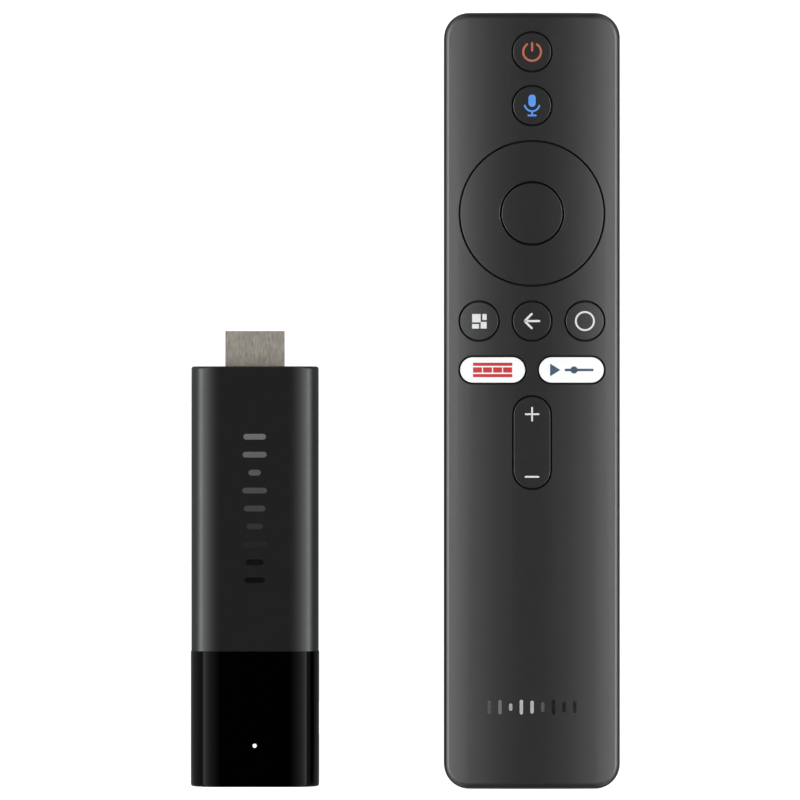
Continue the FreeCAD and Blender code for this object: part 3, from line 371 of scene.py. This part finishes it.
def print_mark(name, faces, middle, height, body, material):
    """A thin printed film: its faces, in mm round middle, follow the height of the surface under it."""
    mesh = bmesh.new()
    for face in faces:
        mesh.faces.new([mesh.verts.new((middle.x + x * MM, middle.y + y * MM, 0)) for x, y in face])
    bmesh.ops.remove_doubles(mesh, verts=mesh.verts, dist=WELD_REACH)
    reach = [v.co.x for v in mesh.verts]
    for cut in range(math.ceil(min(reach) / PRINT_STEP), math.ceil(max(reach) / PRINT_STEP)):
        bmesh.ops.bisect_plane(mesh, geom=mesh.verts[:] + mesh.edges[:] + mesh.faces[:],
                               plane_co=(cut * PRINT_STEP, 0, 0), plane_no=(1, 0, 0), dist=CUT_REACH)
    bmesh.ops.recalc_face_normals(mesh, faces=mesh.faces)
    for face in mesh.faces:
        if face.normal.z < 0:
            face.normal_flip()
    top = list(mesh.verts)
    made = bmesh.ops.extrude_face_region(mesh, geom=mesh.faces[:])
    raised = [item for item in made["geom"] if isinstance(item, bmesh.types.BMVert)]
    for vert in raised:
        vert.co.z = height(vert.co.x) + PRINT_LIFT
    lifted = set(raised)
    for vert in top:
        if vert not in lifted:
            vert.co.z = height(vert.co.x) - PRINT_DEPTH
    bmesh.ops.recalc_face_normals(mesh, faces=mesh.faces)
    data = bpy.data.meshes.new(name)
    mesh.to_mesh(data)
    mesh.free()
    data.materials.append(material)
    piece = bpy.data.objects.new(name, data)
    bpy.context.scene.collection.objects.link(piece)
    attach(piece, body)
    return piece


# The pictures on the keys, in mm from each key's middle.
THIN_LINE = 0.42
BOLD_LINE = 0.5
POWER_RADIUS = 2.08
POWER_GAP = (118, 422)
POWER_STEM = ((0, 0.3), (0, 2.05))
MICROPHONE_HEAD = ((0, 0.55), (0, 1.75))
MICROPHONE_WIDTH = 1.7
CUP_RADIUS = 1.75
CUP_MIDDLE = (0, 0.45)
CUP_STEM = ((0, -1.5), (0, -2.15))
CUP_FOOT = ((-0.85, -2.3), (0.85, -2.3))
# Four tiles: lowest corner, width and height.
TILES = ((-1.65, -0.3, 2.0, 1.95), (0.75, 0.25, 1.0, 1.4), (-1.65, -1.75, 1.6, 1.05),
         (0.35, -1.75, 1.4, 1.55))
ARROW_TIP = (-1.75, 0)
ARROW_ENDS = ((1.65, 0), (-0.1, 1.65), (-0.1, -1.65))
HOME_RADIUS = 2.12
SIGN_REACH = 1.5
LOUDER_PLACE = (0, 6.65)
SOFTER_PLACE = (0, -8.0)
# A strip of film: its two edges, and the frames between them.
FILM_WIDTH = 9.2
FILM_HEIGHT = 3.4
FILM_EDGE = 0.75
FRAME_STEP = 2.35
FRAME_WIDTH = 2.1
FRAME_HEIGHT = 1.24
# A play sign, and its bar with a knob.
PLAY_SIGN = [(-5.0, -1.5), (-2.6, 0.0), (-5.0, 1.5)]
PLAY_BAR = (-1.6, -0.3, 6.8, 0.6, 0.28)
KNOB_RADIUS = 0.85
KNOB_PLACE = (0.6, 0)

PALE = ink("pale_ink", (0.54, 0.55, 0.56))
ORANGE = ink("orange_ink", (0.33, 0.085, 0.045))
BLUE = ink("blue_ink", (0.06, 0.22, 0.60))
RED = ink("red_ink", (0.42, 0.012, 0.016))
SLATE = ink("slate_ink", (0.03, 0.06, 0.10))


def mark_key(node, faces, material, shift=(0, 0), label=""):
    """Print a picture on a key, shifted in mm from its middle."""
    middle = centre(node) + Vector((shift[0] * MM, shift[1] * MM, 0))
    return print_mark(f"{node}_mark{label}", faces, middle, key_height, node, material)


def mark_keys():
    """The pictures printed on the keys."""
    power = hoop(POWER_RADIUS, BOLD_LINE, *POWER_GAP) + stroke(*POWER_STEM, BOLD_LINE)
    mark_key("power_key", power, ORANGE)
    microphone = stroke(*MICROPHONE_HEAD, MICROPHONE_WIDTH)
    microphone += hoop(CUP_RADIUS, THIN_LINE, 190, 350, 40, CUP_MIDDLE)
    microphone += stroke(*CUP_STEM, THIN_LINE) + stroke(*CUP_FOOT, THIN_LINE)
    mark_key("voice_key", microphone, BLUE)
    mark_key("apps_key", [face for size in TILES for face in tile(*size)], PALE)
    arrow = [face for end in ARROW_ENDS for face in stroke(ARROW_TIP, end, BOLD_LINE)]
    mark_key("back_key", arrow, PALE)
    mark_key("home_key", hoop(HOME_RADIUS, THIN_LINE), PALE)
    minus = stroke((-SIGN_REACH, 0), (SIGN_REACH, 0), THIN_LINE)
    plus = minus + stroke((0, -SIGN_REACH), (0, SIGN_REACH), THIN_LINE)
    mark_key("volume_rocker", plus, PALE, LOUDER_PLACE, "_louder")
    mark_key("volume_rocker", minus, PALE, SOFTER_PLACE, "_softer")


def mark_shortcuts():
    """A strip of film on the left key, a play sign with its bar on the right one."""
    start = -FILM_WIDTH / 2
    film = tile(start, -FILM_HEIGHT / 2, FILM_WIDTH, FILM_EDGE)
    film += tile(start, FILM_HEIGHT / 2 - FILM_EDGE, FILM_WIDTH, FILM_EDGE)
    for step in range(4):
        film += tile(start + FRAME_STEP * step, -FRAME_HEIGHT / 2, FRAME_WIDTH, FRAME_HEIGHT)
    mark_key("left_shortcut_key", film, RED)
    bar = tile(*PLAY_BAR) + [arc(KNOB_RADIUS, 0, 345, 24, KNOB_PLACE)]
    mark_key("right_shortcut_key", [PLAY_SIGN] + bar, SLATE)


# How pale each plain bar is, from the first to the last: one ink's grey with a painted sheen that rises
# and falls along the row, as lit and shaded copies.
STICK_SHEEN_TONES = (0.185, 0.155, 0.117, 0.086, 0.065, 0.036, 0.019, 0.002, 0.001)
REMOTE_SHEEN_TONES = (0.05, 0.11, 0.26, 0.32, 0.31, 0.06, 0.002, 0.001, 0.001)
# Each row's pitch, its bars' width and the longest bar's length, in mm.
STICK_BARS = (4.2, 1.35, 6.0)
REMOTE_BARS = (2.5, 0.8, 3.6)
# How far the rows' middles lie from the sleeve's head end and from the remote's foot.
STICK_ROW = 33.3 * MM
REMOTE_ROW = 19.2 * MM
# The bars' lengths swing along a row, down to BAR_LEAST of the longest.
BAR_LEAST = 0.45
BAR_SWING = 1.15
BAR_START = 0.9
BAR_GLOSS = 0.25


def sound_bars(name, sheen_tones, sizes, middle, height, body, upright):
    """A row of plain round-ended bars of several lengths, each a copy of one ink toned by a painted
    sheen.
    """
    pitch, wide, longest = sizes
    for step, sheen_tone in enumerate(sheen_tones):
        # Each bar's own tone is painted sheen on one ink.
        material = ink(f"{name}_ink_{step}", (sheen_tone, sheen_tone * 1.02, sheen_tone * 1.04), BAR_GLOSS)
        share = BAR_LEAST + (1 - BAR_LEAST) * abs(math.sin(BAR_SWING * step + BAR_START))
        reach = longest * share / 2 - wide / 2
        place = (step - (len(sheen_tones) - 1) / 2) * pitch
        if upright:
            bar = stroke((-reach, -place), (reach, -place), wide)
        else:
            bar = stroke((place, -reach), (place, reach), wide)
        print_mark(f"{name}_{step}", bar, middle, height, body, material)


def decorate():
    """The small plain bars on the stick and at the remote's foot."""
    place = Vector((REMOTE_X, COVER_LOW.y + REMOTE_ROW, 0))
    sound_bars("remote_bars", REMOTE_SHEEN_TONES, REMOTE_BARS, place, crown_height, "remote", False)
    place = Vector(((SLEEVE_LOW.x + SLEEVE_HIGH.x) / 2, SLEEVE_HIGH.y - STICK_ROW, 0))
    sound_bars("stick_bars", STICK_SHEEN_TONES, STICK_BARS, place, lambda x: SLEEVE_HIGH.z, "stick", True)


# ---------------------------------------------------------------- soft insides
# The keypad's sheet is this thick; its domes are cut free just above it.
SHEET_THICKNESS = 0.8 * MM
DOME_CUT = 0.05 * MM
# Points of the keypad's CAD mesh nearer than this are one point.
KEYPAD_WELD = 0.0005 * MM
# A dome lies within this distance of its middle, and a key over a dome is centred on it this nearly.
DOME_REACH = 4 * MM
KEY_REACH = 1 * MM
# The ring's seat: its width, how far it stops short of the ring, how far its sides bulge, its facets.
SEAT_WIDTH = 1.8 * MM
SEAT_ROOM = 0.3 * MM
SEAT_BULGE = 0.22 * MM
SEAT_STEPS = 8
SEAT_TURNS = 96


def soft_piece(name, mesh, body=None):
    """A silicone piece, riding on a body where one is given."""
    bmesh.ops.recalc_face_normals(mesh, faces=mesh.faces)
    data = bpy.data.meshes.new(name)
    mesh.to_mesh(data)
    mesh.free()
    data.materials.append(SILICONE)
    piece = bpy.data.objects.new(name, data)
    bpy.context.scene.collection.objects.link(piece)
    if body:
        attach(piece, body)
    return piece


def half_keypad(level, keep_above):
    """The keypad's mesh above or below a level, closed where it is cut."""
    mesh = bmesh.new()
    mesh.from_mesh(NODES["rubber_keypad"].data)
    bmesh.ops.remove_doubles(mesh, verts=mesh.verts, dist=KEYPAD_WELD)
    cut = bmesh.ops.bisect_plane(mesh, geom=mesh.verts[:] + mesh.edges[:] + mesh.faces[:],
                                 plane_co=(0, 0, level), plane_no=(0, 0, 1), dist=CUT_REACH,
                                 clear_inner=keep_above, clear_outer=not keep_above)
    rim = [item for item in cut["geom_cut"] if isinstance(item, bmesh.types.BMEdge)]
    bmesh.ops.triangle_fill(mesh, edges=rim, use_beauty=True, normal=(0, 0, 1))
    return mesh


def islands(mesh):
    """The mesh's separate lumps, each a set of vertices."""
    left = set(mesh.verts)
    found = []
    while left:
        lump = set()
        waiting = [left.pop()]
        while waiting:
            vert = waiting.pop()
            lump.add(vert)
            near = {edge.other_vert(vert) for edge in vert.link_edges} & left
            left -= near
            waiting += near
        found.append(lump)
    return found


def make_keypad():
    """The keypad's sheet, and each dome cut out as a piece by itself."""
    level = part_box("rubber_keypad")[0].z + SHEET_THICKNESS + DOME_CUT
    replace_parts(soft_piece("keypad_sheet", half_keypad(level, False), "remote"), "rubber_keypad")
    travel = {j["child"]: (j["name"], j["range_m"][1]) for j in frame["record"]["behaviour"]["joints"]
              if j["type"] == "slide"}
    keys = {node: centre(node) for node in travel if node.endswith("_key")}
    whole = half_keypad(level, True)
    places = []
    for lump in islands(whole):
        x, y = (sum(v.co[axis] for v in lump) / len(lump) for axis in (0, 1))
        places.append((round(y / MM, 1), round(x / MM, 1), max(v.co.z for v in lump)))
    for count, (y, x, top) in enumerate(sorted(places)):
        dome = whole.copy()
        others = [v for v in dome.verts
                  if math.hypot(v.co.x - x * MM, v.co.y - y * MM) > DOME_REACH]
        bmesh.ops.delete(dome, geom=others, context="VERTS")
        piece = soft_piece(f"keypad_dome_{count}", dome, "remote")
        above = [n for n, c in keys.items() if math.hypot(c.x - x * MM, c.y - y * MM) < KEY_REACH]
        if above:
            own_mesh(piece)
    whole.free()


def make_seat():
    """The ring's soft seat: a round-sided silicone hoop."""
    low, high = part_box("nav_seat")
    middle = (low + high) / 2
    outer = (high.x - low.x) / 2
    inner = outer - SEAT_WIDTH
    top = high.z - SEAT_ROOM
    shares = [i / SEAT_STEPS for i in range(SEAT_STEPS + 1)]
    swells = [SEAT_BULGE * math.sin(math.pi * share) for share in shares]
    heights = [low.z + (top - low.z) * share for share in shares]
    profile = [(outer - SEAT_BULGE + swell, z) for swell, z in zip(swells, heights)]
    profile += [(inner + SEAT_BULGE - swell, z) for swell, z in zip(swells, heights)][::-1]
    mesh = bmesh.new()
    hoops = []
    for turn in range(SEAT_TURNS):
        angle = 2 * math.pi * turn / SEAT_TURNS
        across, along = math.cos(angle), math.sin(angle)
        hoops.append([mesh.verts.new((middle.x + r * across, middle.y + r * along, z))
                      for r, z in profile])
    for one, two in zip(hoops, hoops[1:] + hoops[:1]):
        for i in range(len(profile)):
            after = (i + 1) % len(profile)
            mesh.faces.new((one[i], two[i], two[after], one[after]))
    seat = soft_piece("ring_seat", mesh)
    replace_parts(seat, "nav_seat")
    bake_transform(seat)


# ---------------------------------------------------------------- stage
# The floor: its size in metres, its grey, its glow to the camera, and its gap under the products.
FLOOR_SIZE = 12
FLOOR_GREY = (0.6, 0.6, 0.6, 1)
FLOOR_GLOW = 0.94
FLOOR_GAP = 0.02 * MM


def make_floor():
    """A wide pale floor that looks evenly white and throws a little light back."""
    bpy.ops.mesh.primitive_plane_add(size=FLOOR_SIZE)
    floor = bpy.context.object
    floor.name = "floor"
    look = bpy.data.materials.new("floor")
    look.use_nodes = True
    nodes, links = look.node_tree.nodes, look.node_tree.links
    nodes.clear()
    out = nodes.new("ShaderNodeOutputMaterial")
    plain = nodes.new("ShaderNodeBsdfDiffuse")
    plain.inputs["Color"].default_value = FLOOR_GREY
    glow = nodes.new("ShaderNodeEmission")
    glow.inputs["Strength"].default_value = FLOOR_GLOW
    path = nodes.new("ShaderNodeLightPath")
    both = nodes.new("ShaderNodeAddShader")
    mix = nodes.new("ShaderNodeMixShader")
    links.new(plain.outputs["BSDF"], both.inputs[0])
    links.new(glow.outputs["Emission"], both.inputs[1])
    links.new(path.outputs["Is Camera Ray"], mix.inputs["Fac"])
    links.new(plain.outputs["BSDF"], mix.inputs[1])
    links.new(both.outputs["Shader"], mix.inputs[2])
    links.new(mix.outputs["Shader"], out.inputs["Surface"])
    floor.data.materials.append(look)
    floor.location.z = -FLOOR_GAP


# How bright the studio is by the angle from straight overhead, left and right alike.
STUDIO = [(0, 0.004), (6, 0.02), (16, 0.08), (33, 0.19), (51, 0.40), (62, 0.75), (70, 1.0),
          (71.5, 0.14), (90, 0.10)]
STUDIO_STRENGTH = 3.5
# Where the panels' ends begin and stop fading, along the products, and how bright they are there.
STUDIO_ENDS = (0.72, 0.97, 1.0, 0.25)
# What the camera sees behind the floor.
BACKDROP = (0.98, 0.98, 0.98, 1)


def make_studio():
    """Two long soft panels, left and right, that fade towards the ceiling and end sharply low down."""
    world = bpy.data.worlds.new("studio")
    bpy.context.scene.world = world
    world.use_nodes = True
    nodes, links = world.node_tree.nodes, world.node_tree.links
    back = nodes["Background"]
    place = nodes.new("ShaderNodeTexCoord")
    split = nodes.new("ShaderNodeSeparateXYZ")
    side = nodes.new("ShaderNodeMath")
    side.operation = "ABSOLUTE"
    angle = nodes.new("ShaderNodeMath")
    angle.operation = "ARCTAN2"
    share = nodes.new("ShaderNodeMath")
    share.operation = "DIVIDE"
    share.inputs[1].default_value = math.pi / 2
    ramp = nodes.new("ShaderNodeValToRGB")
    while len(ramp.color_ramp.elements) < len(STUDIO):
        ramp.color_ramp.elements.new(0.5)
    for stop, (degrees, level) in zip(ramp.color_ramp.elements, STUDIO):
        stop.position = degrees / 90
        stop.color = (level, level, level, 1)
    along = nodes.new("ShaderNodeMath")
    along.operation = "ABSOLUTE"
    end = nodes.new("ShaderNodeMapRange")
    end.interpolation_type = "SMOOTHSTEP"
    for key, level in zip(("From Min", "From Max", "To Min", "To Max"), STUDIO_ENDS):
        end.inputs[key].default_value = level
    ends = nodes.new("ShaderNodeMix")
    ends.data_type = "RGBA"
    ends.blend_type = "MULTIPLY"
    ends.inputs["Factor"].default_value = 1.0
    path = nodes.new("ShaderNodeLightPath")
    mix = nodes.new("ShaderNodeMix")
    mix.data_type = "RGBA"
    links.new(place.outputs["Generated"], split.inputs[0])
    links.new(split.outputs["Y"], along.inputs[0])
    links.new(along.outputs[0], end.inputs["Value"])
    links.new(split.outputs["X"], side.inputs[0])
    links.new(side.outputs[0], angle.inputs[0])
    links.new(split.outputs["Z"], angle.inputs[1])
    links.new(angle.outputs[0], share.inputs[0])
    links.new(share.outputs[0], ramp.inputs["Fac"])
    links.new(path.outputs["Is Camera Ray"], mix.inputs["Factor"])
    links.new(ramp.outputs["Color"], ends.inputs["A"])
    links.new(end.outputs["Result"], ends.inputs["B"])
    links.new(ends.outputs["Result"], mix.inputs["A"])
    mix.inputs["B"].default_value = BACKDROP
    links.new(mix.outputs["Result"], back.inputs["Color"])
    back.inputs["Strength"].default_value = STUDIO_STRENGTH
    bpy.context.scene.view_settings.view_transform = "Standard"
    bpy.context.scene.view_settings.look = "None"


def make_lamp_pair(name, lean, turn, spread, strength, lit, shadow, colour=(1, 1, 1)):
    """A soft lamp on each side for some pieces: both lean from overhead and are turned a little."""
    group = bpy.data.collections.new(name)
    for piece in lit:
        group.objects.link(piece)
    for hand in (-1, 1):
        data = bpy.data.lights.new(name, "SUN")
        data.angle = math.radians(spread)
        data.energy = strength
        data.use_shadow = shadow
        data.color = colour
        lamp = bpy.data.objects.new(name, data)
        bpy.context.scene.collection.objects.link(lamp)
        lamp.rotation_euler = (0, math.radians(hand * lean + turn), 0)
        lamp.light_linking.receiver_collection = group


def make_lamps():
    """The two products are lit apart: the crowned remote from higher up than the round-sided sleeve."""
    pieces = [o for o in bpy.context.scene.objects if o.type == "MESH" and o.get("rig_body")]
    remote = [o for o in pieces if o["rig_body"] != "stick"]
    make_lamp_pair("remote_lamp", lean=36, turn=0.75, spread=26, strength=1.25, lit=remote,
                   shadow=True)
    sleeve = [NODES["stick_sleeve"], NODES["hdmi_shell"]]
    make_lamp_pair("sleeve_lamp", lean=84, turn=0, spread=14, strength=0.62, lit=sleeve,
                   shadow=False, colour=(0.94, 1.0, 1.03))


# Seen from straight above, the picture spans PICTURE_WIDTH at PICTURE_HEIGHT over the floor.
PICTURE_WIDTH = 187.5 * MM
PICTURE_HEIGHT = 12 * MM
PICTURE_CENTRE = (-1.2 * MM, 0.2 * MM)
CAMERA_HEIGHT = 2.5
CAMERA_REACH = 20
SENSOR = 36.0


def make_camera():
    """A camera far overhead, looking straight down."""
    data = bpy.data.cameras.new("camera")
    camera = bpy.data.objects.new("camera", data)
    bpy.context.scene.collection.objects.link(camera)
    camera.location = (*PICTURE_CENTRE, CAMERA_HEIGHT)
    data.sensor_width = SENSOR
    data.lens = SENSOR * (CAMERA_HEIGHT - PICTURE_HEIGHT) / PICTURE_WIDTH
    data.clip_end = CAMERA_REACH
    bpy.context.scene.camera = camera


dress_nodes()
mark_keys()
mark_shortcuts()
decorate()
make_keypad()
make_seat()
make_floor()
make_studio()
make_lamps()
make_camera()
